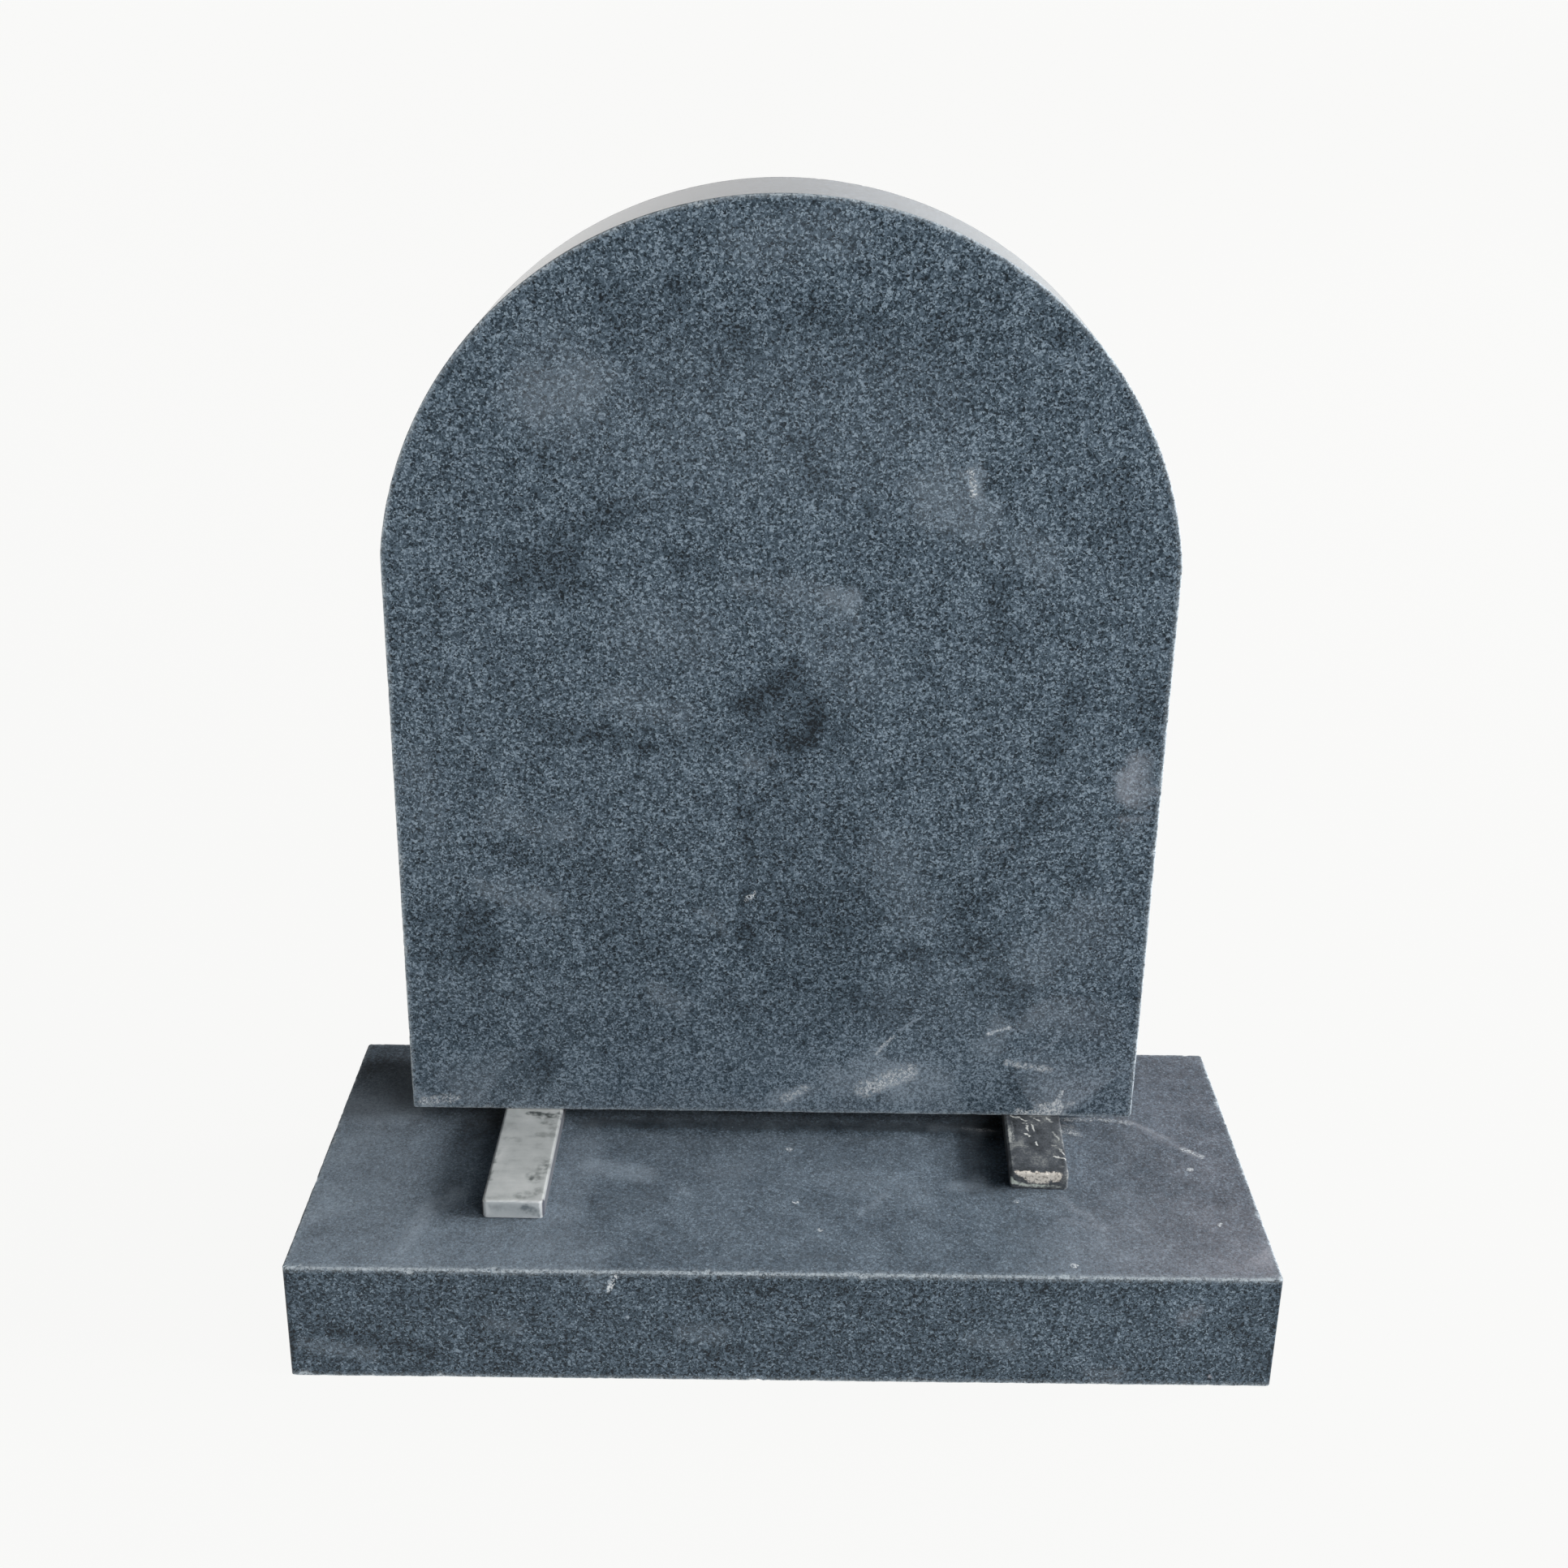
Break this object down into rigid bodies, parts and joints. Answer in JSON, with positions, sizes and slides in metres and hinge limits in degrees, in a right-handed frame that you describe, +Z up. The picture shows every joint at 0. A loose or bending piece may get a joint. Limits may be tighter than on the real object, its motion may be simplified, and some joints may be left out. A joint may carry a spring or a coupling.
{
  "type": "headstone",
  "caption": "Round-topped dark granite headstone tablet, uninscribed, resting on flat steel bars laid across a rectangular granite base slab.",
  "frame": {"origin": "centre of the base slab's underside, on the ground", "axes": "+X to the viewer's right along the face of the stone, +Y from the front of the stone to its back, +Z up"},
  "size_m": [0.762, 0.305, 0.8856],
  "materials": {
    "granite": "satin",
    "bare_steel": "satin",
    "blackened_steel": "satin"
  },
  "bodies": {
    "root": {"base": "granite", "tablet": "granite", "left_bar": "bare_steel", "right_bar": "blackened_steel"}
  },
  "joints": []
}
